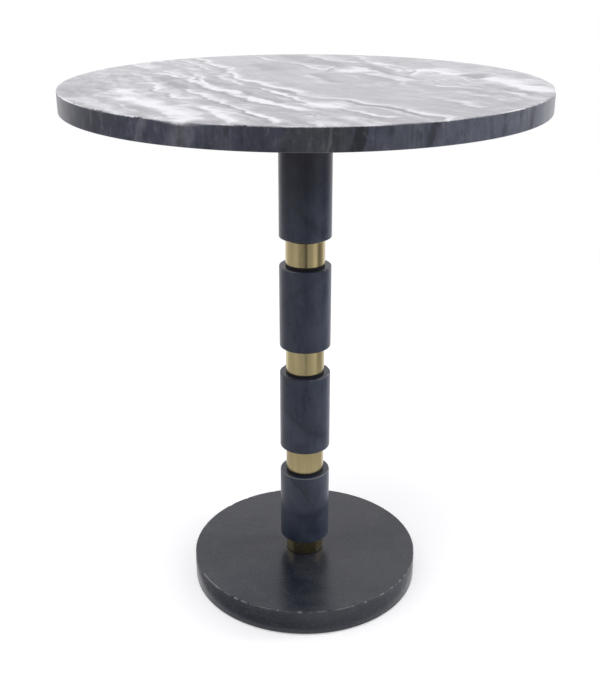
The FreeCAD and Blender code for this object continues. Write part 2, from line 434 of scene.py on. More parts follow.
SPACER_COUNT = 4
SPACER_STEPS = 160
SPACER_WALL = 2.0 * MM
SPACER_ARRIS = 0.3 * MM
SPACER_ARRIS_SEGMENTS = 2
BRASS = (0.58, 0.486, 0.255, 1.0)
BRASS_DARK = (0.48, 0.388, 0.193, 1.0)
BRASS_TARNISH = ((150, 150, 12), 5.0, 0.6)
BRASS_TARNISH_TINT = ((0.4, 0.75), 1.0, BRASS_DARK)
BRASS_LINES = ((40, 40, 3000), 3.0, 0.6)
BRASS_DENTS = (0.01 * MM, 0.3)
BRASS_ROUGHNESS = (0.15, 0.22)
BRUSHED = 0.6
BRUSHED_ROUND = 0.25
NYLON_BLACK = (0.008, 0.008, 0.009, 1.0)
NYLON_GREY = (0.018, 0.018, 0.019, 1.0)
NYLON_WEAR = ((300, 300, 300), 4.0, 0.5)
NYLON_WEAR_TINT = ((0.4, 0.7), 1.0, NYLON_GREY)
NYLON_ROUGHNESS = (0.5, 0.65)


def brass_finish():
    material, tree, shader = new_finish("satin_brass")
    colour = tinted(tree, BRASS, cloud(tree, BRASS_TARNISH), BRASS_TARNISH_TINT)
    tree.links.new(colour, shader.inputs["Base Color"])
    lines = cloud(tree, BRASS_LINES)
    tree.links.new(graded(tree, lines, USUAL, BRASS_ROUGHNESS), shader.inputs["Roughness"])
    tree.links.new(dented(tree, BRASS_LINES, BRASS_DENTS), shader.inputs["Normal"])
    shader.inputs["Metallic"].default_value = 1.0
    shader.inputs["Anisotropic"].default_value = BRUSHED
    shader.inputs["Anisotropic Rotation"].default_value = BRUSHED_ROUND
    tangent = put(tree, "Tangent", direction_type="RADIAL", axis="Z")
    tree.links.new(tangent.outputs[0], shader.inputs["Tangent"])
    return material


def nylon_finish():
    material, tree, shader = new_finish("black_nylon")
    wear = cloud(tree, NYLON_WEAR)
    tree.links.new(tinted(tree, NYLON_BLACK, wear, NYLON_WEAR_TINT), shader.inputs["Base Color"])
    tree.links.new(graded(tree, wear, USUAL, NYLON_ROUGHNESS), shader.inputs["Roughness"])
    return material


brass = brass_finish()
nylon = nylon_finish()
for number in range(1, SPACER_COUNT + 1):
    node = f"spacer_tube_{number}"
    tube_radius = reach_of(node)
    tube_low, tube_high = (corner.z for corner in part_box(node))
    bore_radius = tube_radius - SPACER_WALL
    tube = spun(
        [
            (bore_radius, tube_high),
            (tube_radius, tube_high),
            (tube_radius, tube_low),
            (bore_radius, tube_low),
        ],
        SPACER_STEPS,
    )
    ease(tube, SPACER_ARRIS, SPACER_ARRIS_SEGMENTS, (tube_radius, tube_high), (tube_radius, tube_low))
    stands_for(made(f"brass_spacer_{number}", tube, brass), node)
    dress(nylon, f"spacer_bush_lower_{number}", f"spacer_bush_upper_{number}")

# Stone sleeves of the column
# Four cored and turned cylinders of dark blue-grey marble, honed to a dull sheen. Darker veins cross
# them at a slant, and the edges are eased by hand, with a thin pale line along them that is partly
# wear and partly a painted highlight. The column is painted darker towards the top, as painted shade
# under the slab.

SLEEVE_COUNT = 4
SLEEVE_STEPS = 220
SLEEVE_ARRIS = 1.2 * MM
SLEEVE_ARRIS_SEGMENTS = 4
SLEEVE_NICK_REACH = 1.9 * MM
SLEEVE_NICK_DEPTH = 0.35 * MM
SLEEVE_WEAR_AND_HIGHLIGHT = 0.7
BOSS_FIT = 0.4 * MM
BOSS_SEAT_DEPTH = 17.0 * MM
SLEEVE_STONE = (0.018, 0.025, 0.0445, 1.0)
SLEEVE_STONE_PALE = (0.036, 0.0445, 0.068, 1.0)
SLEEVE_VEIN = (0.006, 0.008, 0.014, 1.0)
SLEEVE_PAINTED_SHADE = (0.0085, 0.0072, 0.012, 1.0)
SLEEVE_NICK_AND_HIGHLIGHT_PALE = (0.2, 0.21, 0.24, 1.0)

# What shows in the stone: slanting patches, flecks, and painted shade that darkens the column towards
# the top, under the slab.
SLEEVE_PATCHES = ((42, 42, 25.2), 5.0, 0.55)
SLEEVE_PATCHES_TURN = (0.5, 0.4, 0)
SLEEVE_PATCHES_TINT = ((0.38, 0.68), 1.0, SLEEVE_STONE_PALE)
SLEEVE_FLECKS = ((240, 240, 70), 5.0, 0.65)
SLEEVE_FLECKS_PALE = ((0.4, 0.72), 0.45, SLEEVE_STONE_PALE)
SLEEVE_FLECKS_DARK = ((0.5, 0.25), 0.4, SLEEVE_VEIN)
SLEEVE_PAINTED_SHADE_TINT = ((380.0 * MM, 490.0 * MM), 0.85, SLEEVE_PAINTED_SHADE)
SLEEVE_ROUGHNESS = (0.27, 0.34)
SLEEVE_GRAIN = ((1600, 1600, 1600), 3.0, 0.5)
SLEEVE_DENTS = (0.02 * MM, 0.4)

# The seams of darker stone: how each plane is turned about X and Y in degrees, its distance from the
# origin and its width, how dark it is, and how far to the right it runs before it fades. Their lengths,
# and that of the fade, are in millimetres.
SLEEVE_SEAMS = [
    (0, -55, 60.7, 2.4, 0.75, 9.0),
    (0, -55, 64.2, 1.5, 0.6, 6.0),
    (0, 4, 82.0, 5.0, 0.35, 60.0),
    (-20, -35, 150.0, 6.0, 0.4, 60.0),
    (15, 42, 238.0, 7.0, 0.3, 60.0),
    (-10, -50, 262.0, 6.0, 0.35, 60.0),
]
SEAM_FADE = 8.0
SEAM_SWAY = ((45, 45, 45), 2.0, 0.5)
SEAM_SWAY_REACH = 12.0 * MM


def swing(tree, pattern, where=None):
    """Random variation that goes as far below 0 as above it."""
    return sums(tree, "SUBTRACT", cloud(tree, pattern, where), 0.5)


def sleeve_finish():
    material, tree, shader = new_finish("honed_blue_grey_marble")
    patches = cloud(tree, SLEEVE_PATCHES, laid(tree, SLEEVE_PATCHES_TURN))
    colour = tinted(tree, SLEEVE_STONE, patches, SLEEVE_PATCHES_TINT)
    flecks = cloud(tree, SLEEVE_FLECKS)
    colour = tinted(tree, colour, flecks, SLEEVE_FLECKS_PALE)
    colour = tinted(tree, colour, flecks, SLEEVE_FLECKS_DARK)
    axes = axes_of(tree)
    # Painted shade: darker towards the top of the column, under the slab.
    colour = tinted(tree, colour, axes["Z"], SLEEVE_PAINTED_SHADE_TINT)
    sway = swing(tree, SEAM_SWAY)
    for about_x, about_y, offset, width, dark, right in SLEEVE_SEAMS:
        height = axes_of(tree, (math.radians(about_x), math.radians(about_y), 0))["Z"]
        height = sums(tree, "MULTIPLY_ADD", sway, SEAM_SWAY_REACH, height)
        away = sums(tree, "ABSOLUTE", sums(tree, "SUBTRACT", height, offset * MM))
        seam = graded(tree, away, (0.0, width * MM), (dark, 0.0))
        runs = graded(tree, axes["X"], ((right - SEAM_FADE) * MM, right * MM), (1.0, 0.0))
        colour = mixed(tree, sums(tree, "MULTIPLY", seam, runs), colour, SLEEVE_VEIN)
    tree.links.new(knocked_and_highlit(tree, colour, SLEEVE_NICK_AND_HIGHLIGHT_PALE), shader.inputs["Base Color"])
    tree.links.new(graded(tree, patches, USUAL, SLEEVE_ROUGHNESS), shader.inputs["Roughness"])
    tree.links.new(dented(tree, SLEEVE_GRAIN, SLEEVE_DENTS), shader.inputs["Normal"])
    return material


sleeve_stone = sleeve_finish()
for number in range(1, SLEEVE_COUNT + 1):
    node = f"column_sleeve_{number}"
    sleeve_radius = reach_of(node)
    sleeve_low, sleeve_high = (corner.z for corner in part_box(node))
    sleeve_rim = (sleeve_radius, sleeve_high)
    outline = [
        (hole_radius, sleeve_high),
        (sleeve_radius - SLEEVE_NICK_REACH, sleeve_high),
        sleeve_rim,
        (sleeve_radius, sleeve_high - SLEEVE_NICK_REACH),
        (sleeve_radius, sleeve_low),
        (hole_radius, sleeve_low),
    ]
    if number == SLEEVE_COUNT:
        boss_seat_radius = reach_of("plate_boss") + BOSS_FIT
        seat_low = sleeve_high - BOSS_SEAT_DEPTH
        outline[0] = (boss_seat_radius, sleeve_high)
        outline += [(hole_radius, seat_low), (boss_seat_radius, seat_low)]
    sleeve = spun(outline, SLEEVE_STEPS)
    ease(sleeve, SLEEVE_ARRIS, SLEEVE_ARRIS_SEGMENTS, sleeve_rim, (sleeve_radius, sleeve_low))
    nick(sleeve, sleeve_rim, SLEEVE_NICK_REACH, SLEEVE_NICK_DEPTH, SLEEVE_WEAR_AND_HIGHLIGHT, number)
    stands_for(made(f"stone_sleeve_{number}", sleeve, sleeve_stone), node)

# Plate under the top
# A round steel plate with a welded boss takes the rod, and four button-head screws hold it to brass
# inserts in the marble. The plate is sprayed satin black. All keep the shape of their solids.

PAINT_BLACK = (0.012, 0.012, 0.013, 1.0)
PAINT_WORN = (0.03, 0.03, 0.031, 1.0)
PAINT_WEAR = ((90, 90, 90), 5.0, 0.6)
PAINT_WEAR_TINT = ((0.45, 0.75), 1.0, PAINT_WORN)
PAINT_ROUGHNESS = (0.38, 0.55)
PAINT_PEEL = ((900, 900, 900), 2.0, 0.5)
PAINT_DENTS = (0.05 * MM, 0.5)


def paint_finish():
    material, tree, shader = new_finish("satin_black_paint")
    wear = cloud(tree, PAINT_WEAR)
    tree.links.new(tinted(tree, PAINT_BLACK, wear, PAINT_WEAR_TINT), shader.inputs["Base Color"])
    tree.links.new(graded(tree, wear, USUAL, PAINT_ROUGHNESS), shader.inputs["Roughness"])
    tree.links.new(dented(tree, PAINT_PEEL, PAINT_DENTS), shader.inputs["Normal"])
    return material


paint = paint_finish()
dress(paint, "top_plate", "plate_boss")
dress(rubber, "plate_gasket")
dress(zinc, "plate_screws")
dress(brass, "plate_inserts")

# Marble top
# A round slab of grey marble with white wavy veins, polished on top and only honed on its edge and
# below, which are rougher. The top face is painted far paler than the same stone on the edge and below,
# as a painted reflection of the white surround. Blind holes below take the inserts of the plate.

TOP_STEPS = 1440
TOP_ARRIS = 0.8 * MM
TOP_ARRIS_SEGMENTS = 3
TOP_NICK_REACH = 2.4 * MM
TOP_NICK_DEPTH = 0.3 * MM
TOP_NICK_SEED = 11.0
TOP_WEAR_AND_HIGHLIGHT = 0.5
INSERT_HOLE_RADIUS = 5.2 * MM
INSERT_HOLE_SPACE = 1.0 * MM
INSERT_HOLE_STEPS = 32
INSERT_FIT = 0.1 * MM
# The face's grey is painted far paler than the edge's stone, as a painted reflection of the white
# surround.
TOP_GREY = (0.24, 0.24, 0.255, 1.0)
TOP_WHITE = (0.84, 0.84, 0.85, 1.0)
TOP_DARK = (0.05, 0.05, 0.056, 1.0)
TOP_WHITE_TINT = ((-0.2, 1.1), 1.0, TOP_WHITE)
TOP_DARK_TINT = ((0.0, -0.9), 1.0, TOP_DARK)
# A painted highlight along the rim of the face, partly wear, whitens it there.
TOP_WEAR_AND_HIGHLIGHT_TINT = ((0.1, 0.7), 0.9, TOP_WHITE)
TOP_ROUGHNESS = (0.28, 0.12)

# How the polish, and the paler painted reflection of the face with it, ends below the upper edge: how
# far down it fades, how ragged it is, and its nicks.
POLISH_AND_REFLECTION_FADE = 1.5 * MM
POLISH_AND_REFLECTION_SPAN = (POLISH_AND_REFLECTION_FADE, 0.1 * POLISH_AND_REFLECTION_FADE)
POLISH_AND_REFLECTION_RAGGED = ((260, 260, 30), 4.0, 0.7)
POLISH_AND_REFLECTION_RAGGED_REACH = 1.1 * POLISH_AND_REFLECTION_FADE
POLISH_AND_REFLECTION_NICK_SPAN = (0.2, 0.5)
PAINTED_REFLECTION_SHARPNESS = 1.6

# Near this bearing the polish, and the paler painted reflection of the face with it, runs further down
# the edge, at this share of the usual slope.
RUBBED_MIDDLE = math.radians(-24)
RUBBED_WIDTH = math.radians(9)
RUBBED_SPAN = (0.2 * RUBBED_WIDTH, RUBBED_WIDTH)
RUBBED_SLOPE = 0.35

# The honed edge: its own stone, painted lighter towards the right as painted light from that side, and
# what shows in it.
EDGE_BLUE = (0.049, 0.053, 0.082, 1.0)
EDGE_OLIVE = (0.05, 0.052, 0.057, 1.0)
EDGE_PAINTED_LIGHT = (0.108, 0.118, 0.151, 1.0)
EDGE_PALE = (0.18, 0.185, 0.203, 1.0)
EDGE_DARK = (0.014, 0.015, 0.02, 1.0)
EDGE_PATCHES = ((22, 22, 4), 4.0, 0.6)
EDGE_PATCHES_TINT = ((0.5, 0.7), 0.35, EDGE_OLIVE)
EDGE_PAINTED_LIGHT_TINT = ((-20.0 * MM, 140.0 * MM), 0.6, EDGE_PAINTED_LIGHT)
EDGE_MOTTLE = ((70, 70, 50), 6.0, 0.68)
EDGE_MOTTLE_DARK = ((0.48, 0.3), 0.55, EDGE_DARK)
EDGE_MOTTLE_PALE = ((0.54, 0.75), 0.3, EDGE_PALE)
EDGE_SPECKLE = ((230, 230, 110), 4.0, 0.6)
EDGE_SPECKLE_PALE = ((0.52, 0.76), 0.35, EDGE_PALE)
EDGE_SPECKLE_DARK = ((0.48, 0.26), 0.5, EDGE_DARK)
EDGE_SAW = ((420, 420, 14), 3.0, 0.6)
EDGE_SAW_TINT = ((0.3, 0.75), 0.35, EDGE_DARK)
EDGE_VEIN_WHITE = ((0.4, 2.2), 1.0, EDGE_PALE)
EDGE_VEIN_DARK = ((-0.2, -1.0), 1.0, EDGE_DARK)
EDGE_FOOT_SHARE = 0.5

# Streaks of other stone on the edge: the bearing of each from the front and its half width, in
# degrees, the share of that width where it is even, how strong it is, and its colour. The wide pale
# streaks at -78 and 66 degrees are not stone but painted highlights at the two ends of the edge.
EDGE_STREAKS = [
    (-78.0, 12.0, 0.2, 0.3, EDGE_PALE),
    (-48.0, 16.0, 0.3, 0.3, EDGE_DARK),
    (-33.3, 1.6, 0.4, 0.45, EDGE_PALE),
    (-23.5, 4.0, 0.1, 0.55, EDGE_PALE),
    (-14.5, 3.0, 0.0, 0.12, EDGE_PALE),
    (-8.0, 5.0, 0.2, 0.35, EDGE_DARK),
    (2.5, 8.0, 0.6, 0.75, EDGE_OLIVE),
    (5.0, 0.5, 0.3, 0.45, EDGE_PALE),
    (10.4, 1.7, 0.6, 0.9, EDGE_DARK),
    (21.5, 3.0, 0.0, 0.12, EDGE_PALE),
    (25.0, 1.2, 0.3, 0.6, EDGE_DARK),
    (50.5, 1.0, 0.2, 0.25, EDGE_PALE),
    (54.5, 1.3, 0.4, 0.6, EDGE_DARK),
    (66.0, 9.0, 0.3, 0.35, EDGE_PALE),
]
STREAK_LEAN = 0.3
STREAK_SWAY = ((90, 90, 90), 3.0, 0.5)
STREAK_SWAY_REACH = math.radians(2.0)
STREAK_REACH = 12.0 * MM
STREAK_FULL = 1.2 * MM

# The veins run at this turn and lean with the depth. They sway and ripple, and fade out at their ends
# over this many widths.
VEIN_TURN = math.radians(-29)
VEIN_LEAN = -0.4
VEIN_SWAY = ((30, 30, 30), 2.0, 0.5)
VEIN_SWAY_REACH = 24.0 * MM
VEIN_RIPPLE = ((70, 70, 70), 2.0, 0.5)
VEIN_RIPPLE_REACH = 9.0 * MM
VEIN_FADE = 2.0

# The brightness of a vein from one side to the other: a dark seam, a crisp white flank, a soft one.
# The whole section is this many widths across.
VEIN_SECTION = [
    (0.0, 0.333), (0.16, 0.32), (0.3, 0.0), (0.38, 0.22), (0.44, 0.85),
    (0.5, 1.0), (0.58, 0.8), (0.7, 0.52), (0.85, 0.38), (1.0, 0.333),
]
VEIN_SECTION_WIDTHS = 8
VEIN_SEAM = 0.5

# A vein that is wider than this is a band, which fades out on both sides and has no dark seam.
BAND_WIDTH = 7.5
BAND_SECTION = [
    (0.0, 0.0), (0.28, 0.03), (0.36, 0.2), (0.43, 0.85),
    (0.5, 1.0), (0.6, 0.75), (0.75, 0.3), (1.0, 0.0),
]

# Thin layers lie between the veins and bend with the main one. Their patterns go by the slab's width.
# Where the stone is broken the fine layers are stronger and the veins fuller.
MAIN_VEIN = 6
LAYER_BEND = 0.8
LAYERS_WIDE = ((22, 3.5, 30), 6.0, 0.62)
LAYERS_WIDE_MIDDLE = 0.48
LAYERS_WIDE_GAIN = 2.2
LAYERS_FINE = ((52, 7, 60), 5.0, 0.62)
LAYERS_FINE_GAIN = (0.5, 2.4)
LAYERS_FINE_SPAN = (0.36, 0.62)
CURLS = ((55, 55, 55), 4.0, 0.55)
CURLS_GAIN = 1.5
BREAKS = ((30, 11, 30), 3.0, 0.6)
FULLNESS_SPAN = (0.3, 0.62)
FULLNESS = (0.4, 1.15)

# How white a vein is where it starts and ends to cover the layers, and what it leaves of them.
COVER_SPAN = (0.1, 0.8)
COVER_LEAVES = (1.0, 0.25)

# How lively the layers are from the left of the slab to its right, with a calm stretch in the middle.
LIVELINESS = [(0.0, 0.9), (0.3, 1.0), (0.45, 0.6), (0.53, 0.35), (0.6, 0.5), (0.7, 0.85), (1.0, 0.8)]

# Each vein in the slab: its width in millimetres, how white it is (below 0 for a dark one), and the
# points that it passes through, in millimetres from the middle with +X to the right and +Y to the back.
VEINS = [
    (10.0, 1.0, [(-167, -44), (-155, -72), (-143, -102), (-126, -125), (-108, -154), (-91, -189),
                 (-86, -205)]),
    (6.0, 0.95, [(-86, -136), (-73, -160), (-64, -188), (-57, -210)]),
    (4.0, 0.75, [(-44, -160), (-33, -182), (-22, -212)]),
    (3.6, 0.85, [(-102, -42), (-94, -60), (-82, -92), (-65, -119), (-50, -148), (-33, -178),
                 (-20, -204)]),
    (4.6, 0.95, [(-150, 60), (-132, 48), (-112, 22), (-99, 0), (-85, -32), (-69, -62), (-50, -92),
                 (-33, -118), (-3, -160)]),
    (3.4, 0.8, [(-155, -3), (-143, -8), (-134, -30), (-127, -58), (-116, -66), (-109, -88),
                (-100, -100)]),
    (4.4, 0.85, [(-118, 190), (-105, 162), (-92, 130), (-81, 102), (-70, 62), (-61, 26), (-38, -14),
                 (-10, -55), (0, -78), (18, -92), (40, -110), (66, -137), (90, -166), (102, -189),
                 (112, -208)]),
    (4.0, 0.75, [(-84, 45), (-72, 18), (-59, -8), (-40, -36), (-21, -67), (-8, -92), (14, -132),
                 (40, -158), (65, -188)]),
    (9.0, 1.0, [(3, -120), (11, -134), (20, -147)]),
    (3.4, 0.65, [(-58, 217), (-50, 195), (-37, 168), (-21, 149), (0, 126), (8, 108), (13, 84)]),
    (6.5, 0.65, [(6, 210), (20, 185), (38, 160), (56, 148), (73, 137), (86, 104), (95, 74)]),
    (5.0, 0.6, [(58, 208), (63, 190), (67, 160), (80, 138), (98, 116), (104, 96), (103, 74)]),
    (10.0, 1.35, [(40, 91), (46, 82), (51, 74)]),
    (5.0, 0.8, [(62, 60), (71, 44), (84, 22), (94, -8)]),
    (8.0, 1.25, [(115, 92), (120, 86), (131, 79), (143, 59), (152, 50)]),
    (12.0, 1.2, [(168, 33), (174, 24), (183, 9), (192, -14), (201, -38), (209, -60)]),
    (4.0, 0.85, [(115, 92), (112, 76), (107, 60), (103, 42)]),
    (3.4, 0.7, [(118, -22), (130, -27), (146, -38), (162, -48)]),
    (5.0, 0.35, [(167, -60), (182, -80), (197, -100)]),
    (5.0, 0.8, [(114, -106), (124, -112), (132, -122)]),
    (4.0, 0.5, [(124, -124), (134, -132), (140, -142)]),
    (5.0, 0.5, [(-180, 130), (-165, 110), (-150, 80)]),
    (3.0, 0.7, [(-138, 85), (-128, 62), (-116, 40), (-108, 22)]),
    (3.0, 0.6, [(-117, 80), (-105, 50), (-97, 15), (-87, -10)]),
    (2.6, 0.5, [(-133, 170), (-118, 140), (-106, 112), (-98, 90)]),
    (4.0, 0.5, [(-145, 167), (-132, 145), (-117, 117)]),
    (3.0, 0.55, [(-168, 62), (-154, 30), (-148, 10)]),
    (6.0, 0.5, [(-196, -92), (-178, -118), (-160, -140), (-146, -170)]),
    (11.0, -0.8, [(-24, 212), (-12, 190), (3, 161), (22, 138), (32, 122)]),
    (5.0, -0.7, [(34, 124), (61, 114), (75, 88), (84, 56), (96, 36), (108, 16)]),
    (4.0, -0.6, [(36, 122), (29, 104), (23, 86), (21, 72)]),
    (13.0, -0.7, [(-46, 140), (-38, 112), (-26, 84)]),
    (6.0, -0.6, [(12, 62), (14, 40), (22, 8), (46, -6)]),
    (8.0, -1.9, [(155, 53), (165, 28)]),
    (5.0, -0.5, [(163, -14), (178, -49), (190, -80)]),
    (6.0, -0.5, [(140, -45), (150, -66), (158, -78)]),
    (8.0, -0.75, [(-140, 36), (-128, 8), (-118, -18), (-106, -42)]),
    (5.0, -0.6, [(-92, 18), (-76, -22), (-60, -52), (-44, -82), (-22, -118)]),
    (3.6, -0.6, [(-62, 8), (-48, -22), (-28, -48), (-12, -72)]),
    (4.0, -0.6, [(30, -112), (52, -132), (76, -160), (92, -186)]),
    (12.0, -0.4, [(-215, -20), (-205, -50), (-195, -75)]),
]


def drawn_curve(tree, value, points):
    """Reads a value off a smooth curve through points that go from 0 to 1 both ways."""
    curve = put(tree, "FloatCurve", {"Value": value})
    line = curve.mapping.curves[0]
    for index, (place, height) in enumerate(points):
        if index < len(line.points):
            line.points[index].location = (place, height)
        else:
            line.points.new(place, height)
    for point in line.points:
        point.handle_type = "AUTO"
    curve.mapping.extend = "HORIZONTAL"
    curve.mapping.update()
    return curve.outputs[0]


def length_of(tree, place):
    """The distance of a place from the origin."""
    return put(tree, "VectorMath", {0: place}, operation="LENGTH").outputs["Value"]


def bearing_of(tree, axes):
    """The bearing round the column: 0 at the front and growing to the right."""
    return sums(tree, "ARCTAN2", axes["X"], sums(tree, "MULTIPLY", axes["Y"], -1.0))


def vein_paths(size):
    """The veins as curves of places along the slab and across it, from 0 to 1 both ways."""
    turn = Matrix.Rotation(VEIN_TURN, 2)
    paths = []
    for _, _, points in VEINS:
        turned = sorted(tuple((turn @ Vector(point) * MM).yx) for point in points)
        paths.append([(place / size + 0.5, value / size + 0.5) for place, value in turned])
    return paths


def marble_whiteness(tree, size):
    """How white the marble is at each place, from below 0 for dark streaks to 1 for white veins."""
    where = laid(tree, (0, 0, VEIN_TURN))
    axes = put(tree, "SeparateXYZ", {"Vector": where}).outputs
    depth = sums(tree, "SUBTRACT", axes["Z"], top_high)
    across = sums(tree, "MULTIPLY_ADD", depth, VEIN_LEAN, axes["X"])
    across = sums(tree, "MULTIPLY_ADD", swing(tree, VEIN_SWAY, where), VEIN_SWAY_REACH, across)
    across = sums(tree, "MULTIPLY_ADD", swing(tree, VEIN_RIPPLE, where), VEIN_RIPPLE_REACH, across)
    across = sums(tree, "MULTIPLY_ADD", across, 1 / size, 0.5)
    along = sums(tree, "MULTIPLY_ADD", axes["Y"], 1 / size, 0.5)
    paths = vein_paths(size)

    bend = drawn_curve(tree, along, paths[MAIN_VEIN])
    layer = sums(tree, "MULTIPLY_ADD", bend, -LAYER_BEND, across)
    bent = put(tree, "CombineXYZ", {"X": layer, "Y": along, "Z": depth}).outputs[0]
    breaks = cloud(tree, BREAKS, bent)
    fine_gain = graded(tree, breaks, LAYERS_FINE_SPAN, LAYERS_FINE_GAIN)
    layers = sums(tree, "SUBTRACT", cloud(tree, LAYERS_WIDE, bent), LAYERS_WIDE_MIDDLE)
    layers = sums(tree, "MULTIPLY", layers, LAYERS_WIDE_GAIN)
    layers = sums(tree, "MULTIPLY_ADD", swing(tree, LAYERS_FINE, bent), fine_gain, layers)
    layers = sums(tree, "MULTIPLY_ADD", swing(tree, CURLS, where), CURLS_GAIN, layers)
    layers = sums(tree, "MULTIPLY", layers, drawn_curve(tree, across, LIVELINESS))

    fullness = graded(tree, breaks, FULLNESS_SPAN, FULLNESS)
    veins = 0.0
    for (width, white, _), path in zip(VEINS, paths):
        section, seam = (BAND_SECTION, 0.0) if width > BAND_WIDTH else (VEIN_SECTION, VEIN_SEAM)
        away = sums(tree, "SUBTRACT", across, drawn_curve(tree, along, path))
        away = sums(tree, "MULTIPLY_ADD", away, size / (VEIN_SECTION_WIDTHS * width * MM), 0.5)
        body = sums(tree, "MULTIPLY_ADD", drawn_curve(tree, away, section), 1.0 + seam, -seam)
        half_fade = VEIN_FADE * width * MM / size / 2
        first, last = path[0][0], path[-1][0]
        start = graded(tree, along, (first - half_fade, first + half_fade))
        end = graded(tree, along, (last + half_fade, last - half_fade))
        body = sums(tree, "MULTIPLY", body, sums(tree, "MULTIPLY", start, end))
        body = sums(tree, "MULTIPLY", body, fullness)
        veins = sums(tree, "MULTIPLY_ADD", body, white, veins)
    left = graded(tree, veins, COVER_SPAN, COVER_LEAVES)
    return sums(tree, "MULTIPLY_ADD", layers, left, veins)


def edge_colour(tree, axes, white):
    """The dark honed edge: streaks by bearing, with painted highlights at both ends, painted light
    towards the right, saw marks, and the ends of the slab's own veins.
    """
    plain = tinted(tree, EDGE_BLUE, cloud(tree, EDGE_PATCHES), EDGE_PATCHES_TINT)
    # Painted light: the edge is painted lighter towards the right.
    plain = tinted(tree, plain, axes["X"], EDGE_PAINTED_LIGHT_TINT)
    depth = sums(tree, "SUBTRACT", axes["Z"], top_high)
    bearing = sums(tree, "MULTIPLY_ADD", depth, -STREAK_LEAN / top_radius, bearing_of(tree, axes))
    bearing = sums(tree, "MULTIPLY_ADD", swing(tree, STREAK_SWAY), STREAK_SWAY_REACH, bearing)
    streaked = plain
    for middle, width, even, strength, colour in EDGE_STREAKS:
        away = sums(tree, "ABSOLUTE", sums(tree, "SUBTRACT", bearing, math.radians(middle)))
        span = (math.radians(even * width), math.radians(width))
        streaked = mixed(tree, graded(tree, away, span, (strength, 0.0)), streaked, colour)
    level = put(tree, "CombineXYZ", {"X": axes["X"], "Y": axes["Y"]}).outputs[0]
    rim_span = (top_radius - STREAK_REACH, top_radius - STREAK_FULL)
    edge = mixed(tree, graded(tree, length_of(tree, level), rim_span), plain, streaked)
    mottle = cloud(tree, EDGE_MOTTLE)
    edge = tinted(tree, edge, mottle, EDGE_MOTTLE_DARK)
    edge = tinted(tree, edge, mottle, EDGE_MOTTLE_PALE)
    speckle = cloud(tree, EDGE_SPECKLE)
    edge = tinted(tree, edge, speckle, EDGE_SPECKLE_PALE)
    edge = tinted(tree, edge, speckle, EDGE_SPECKLE_DARK)
    edge = tinted(tree, edge, cloud(tree, EDGE_SAW), EDGE_SAW_TINT)
    edge = tinted(tree, edge, white, EDGE_VEIN_WHITE)
    edge = tinted(tree, edge, white, EDGE_VEIN_DARK)
    return tinted(tree, edge, axes["Z"], ((top_low + TOP_ARRIS, top_low), EDGE_FOOT_SHARE, EDGE_PALE))


def top_finish():
    material, tree, shader = new_finish("polished_grey_marble")
    white = marble_whiteness(tree, 2 * top_radius)
    face = tinted(tree, TOP_GREY, white, TOP_WHITE_TINT)
    face = tinted(tree, face, white, TOP_DARK_TINT)
    # Painted highlight, partly wear: the face turns whiter along its rim.
    face = tinted(tree, face, remembered(tree, "wear_and_highlight"), TOP_WEAR_AND_HIGHLIGHT_TINT)
    axes = axes_of(tree)
    apart = sums(tree, "ABSOLUTE", sums(tree, "SUBTRACT", bearing_of(tree, axes), RUBBED_MIDDLE))
    slope = graded(tree, apart, RUBBED_SPAN, (RUBBED_SLOPE, 1.0))
    # Where polished the face is smoother and shows its paler painted reflection colour; elsewhere the
    # edge's stone.
    drop = sums(tree, "SUBTRACT", top_high, axes["Z"])
    drop = sums(tree, "MULTIPLY_ADD", swing(tree, POLISH_AND_REFLECTION_RAGGED), POLISH_AND_REFLECTION_RAGGED_REACH, drop)
    polish_and_reflection = graded(tree, sums(tree, "MULTIPLY", drop, slope), POLISH_AND_REFLECTION_SPAN)
    nicks = sums(tree, "MULTIPLY", remembered(tree, "nick"), slope)
    polish_and_reflection = sums(tree, "MULTIPLY", polish_and_reflection, graded(tree, nicks, POLISH_AND_REFLECTION_NICK_SPAN, (1.0, 0.0)))
    shown = sums(tree, "POWER", polish_and_reflection, PAINTED_REFLECTION_SHARPNESS)
    tree.links.new(mixed(tree, shown, edge_colour(tree, axes, white), face), shader.inputs["Base Color"])
    tree.links.new(graded(tree, polish_and_reflection, (0.0, 1.0), TOP_ROUGHNESS), shader.inputs["Roughness"])
    return material


def bore_underside(slab, height, places):
    """Closes the slab below with one level face that has a blind hole at each place."""
    rim = [edge for edge in slab.edges if edge.is_boundary]
    mouths = []
    for x, y in places:
        circle = bmesh.ops.create_circle(
            slab,
            cap_ends=False,
            radius=INSERT_HOLE_RADIUS,
            segments=INSERT_HOLE_STEPS,
            matrix=Matrix.Translation((x, y, height)),
        )
        mouths.append(list(dict.fromkeys(edge for vert in circle["verts"] for edge in vert.link_edges)))
    bmesh.ops.triangle_fill(slab, use_beauty=True, edges=rim + sum(mouths, []))
    for mouth in mouths:
        walls = bmesh.ops.extrude_edge_only(slab, edges=mouth)["geom"]
        ends = [item for item in walls if isinstance(item, bmesh.types.BMVert)]
        bmesh.ops.translate(slab, verts=ends, vec=(0, 0, insert_hole_high - height))
        bmesh.ops.contextual_create(slab, geom=ends)
    bmesh.ops.recalc_face_normals(slab, faces=slab.faces)


